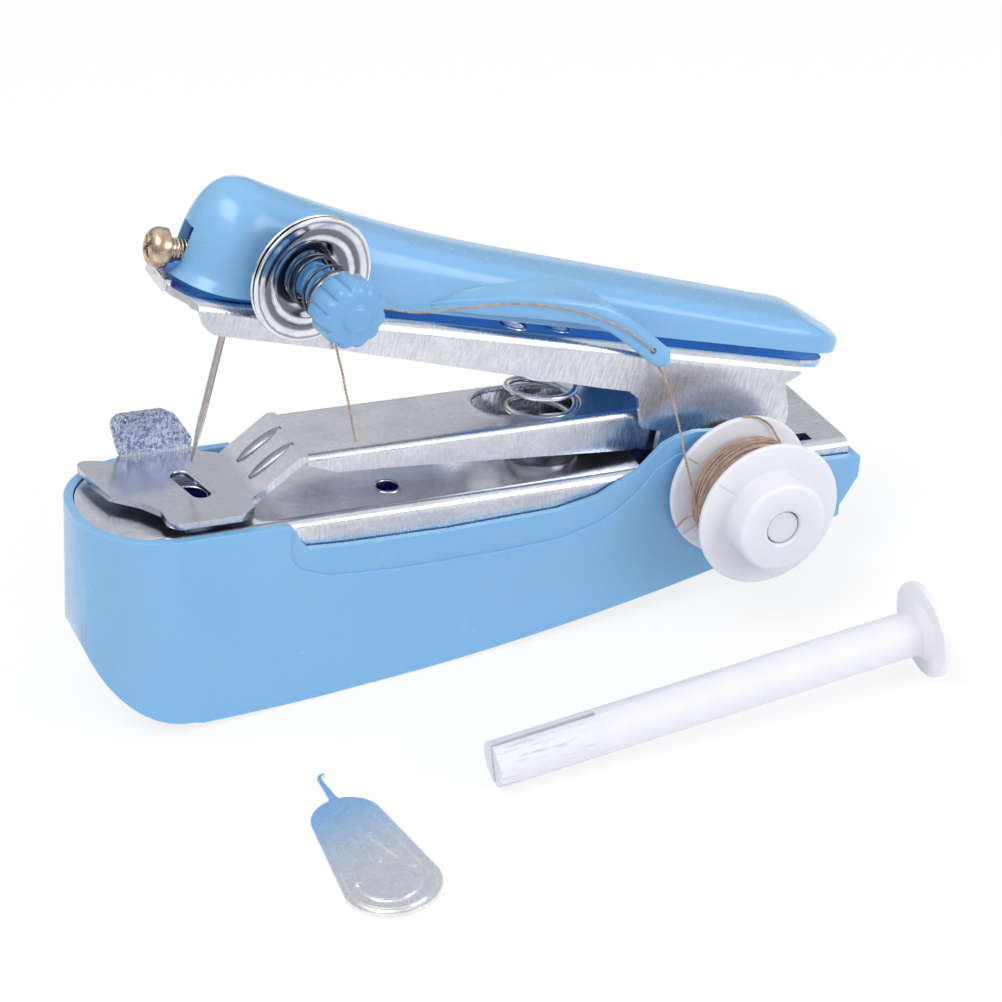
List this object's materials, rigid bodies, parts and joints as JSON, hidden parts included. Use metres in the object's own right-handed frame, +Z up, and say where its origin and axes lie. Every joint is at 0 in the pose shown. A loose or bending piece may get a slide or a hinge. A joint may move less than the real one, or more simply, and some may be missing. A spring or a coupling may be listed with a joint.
{
  "type": "hand-held sewing machine",
  "caption": "Hand-held stapler-style sewing machine with base, steel bed, needle arm, presser foot, thread tension, bobbin, spindle and threader.",
  "frame": {"origin": "on the flat land under the base, level with the table it stands on, in the middle of the base's width, about 38 mm behind the tip of its nose", "axes": "+X from the needle to the hinge, +Y away from the bobbin, +Z up; the bed stands 6 degrees nose-up"},
  "size_m": [0.1108, 0.0739, 0.0696],
  "materials": {
    "blue_shell": "glossy sky-blue ABS",
    "zinc_steel": "zinc-plated sheet, drawn, with fine scratches",
    "spring_steel": "nickel-plated spring wire",
    "bright_steel": "bright pressed sheet",
    "pins": "turned and plated",
    "needle_steel": "polished, nickel-plated",
    "brass_screw": "yellow-plated",
    "clear_blue": "blue plastic",
    "milky": "milky translucent plastic",
    "thread": "spun polyester thread, beige",
    "threader_tin": "stamped, bluish"
  },
  "bodies": {
    "base": {"base_shell": "blue_shell", "bed_plate": "zinc_steel", "bed_screws": "pins", "hinge_rivet": "pins", "spring_stud": "pins", "main_spring": "spring_steel", "looper_pivot": "pins", "looper_spring": "spring_steel", "link_guides": "pins", "thread_drop": "thread"},
    "needle_arm": {"needle_arm": "zinc_steel", "link_stud": "pins", "top_cover": "blue_shell", "cover_rivets": "pins", "needle_clamp": "clear_blue", "needle": "needle_steel", "spring_cap": "pins", "tension_post": "clear_blue", "tension_disc_back": "bright_steel", "tension_disc_front": "bright_steel", "tension_spring": "spring_steel", "tension_key": "bright_steel", "thread_run": "thread", "thread_tail": "thread"},
    "presser": {"presser_arm": "zinc_steel"},
    "clamp_screw": {"clamp_screw": "brass_screw"},
    "knob": {"tension_knob": "clear_blue"},
    "looper": {"looper": "bright_steel"},
    "link": {"looper_link": "zinc_steel"},
    "bobbin": {"bobbin": "milky", "bobbin_thread": "thread"},
    "bobbin_pin": {"bobbin_pin": "milky"},
    "spindle": {"extension_spindle": "milky"},
    "threader": {"needle_threader": "threader_tin"}
  },
  "joints": [
    {"name": "needle_arm_press", "type": "hinge", "parent": "base", "child": "needle_arm", "pos_m": [0.04963, 0, 0.01702], "axis": [0, -1, 0], "range_deg": [0, 12.84], "stiffness_Nm_per_rad": 1.2, "springref_deg": -6.88, "deforming": ["main_spring", "thread_drop", "thread_tail"]},
    {"name": "presser_lift", "type": "hinge", "parent": "base", "child": "presser", "pos_m": [0.04963, 0, 0.01702], "axis": [0, 1, 0], "range_deg": [0, 4], "stiffness_Nm_per_rad": 0.3, "springref_deg": -5.73},
    {"name": "looper_turn", "type": "hinge", "parent": "base", "child": "looper", "pos_m": [-0.01514, 0.0042, 0.0188], "axis": [0.1045, 0, 0.9945], "range_deg": [0, 29.58]},
    {"name": "link_slide", "type": "slide", "parent": "base", "child": "link", "axis": [0.9945, 0, -0.1045], "range_m": [0, 0.00163]},
    {"name": "tension_turn", "type": "hinge", "parent": "needle_arm", "child": "knob", "pos_m": [-0.00817, 0, 0.0593], "axis": [0.1153, -0.9925, -0.0394], "range_deg": [-180, 180]},
    {"name": "clamp_screw_turn", "type": "hinge", "parent": "needle_arm", "child": "clamp_screw", "pos_m": [-0.01982, 0, 0.06122], "axis": [0.9464, 0, -0.3229], "range_deg": [-360, 0]},
    {"name": "bobbin_spin", "type": "hinge", "parent": "base", "child": "bobbin", "pos_m": [0.04963, 0, 0.01702], "axis": [0, 1, 0], "continuous": true},
    {"name": "bobbin_pin_pull", "type": "slide", "parent": "base", "child": "bobbin_pin", "axis": [0, 1, 0], "range_m": [0, 0.038]},
    {"name": "spindle_lift", "type": "slide", "parent": "base", "child": "spindle", "axis": [0, 0, 1], "range_m": [0, 0.05]},
    {"name": "threader_lift", "type": "slide", "parent": "base", "child": "threader", "axis": [0, 0, 1], "range_m": [0, 0.05]}
  ],
  "couplings": [
    {"joint": "looper_turn", "follows": "needle_arm_press", "ratio": 2.3019},
    {"joint": "link_slide", "follows": "needle_arm_press", "m_per_rad": 0.0072847}
  ]
}
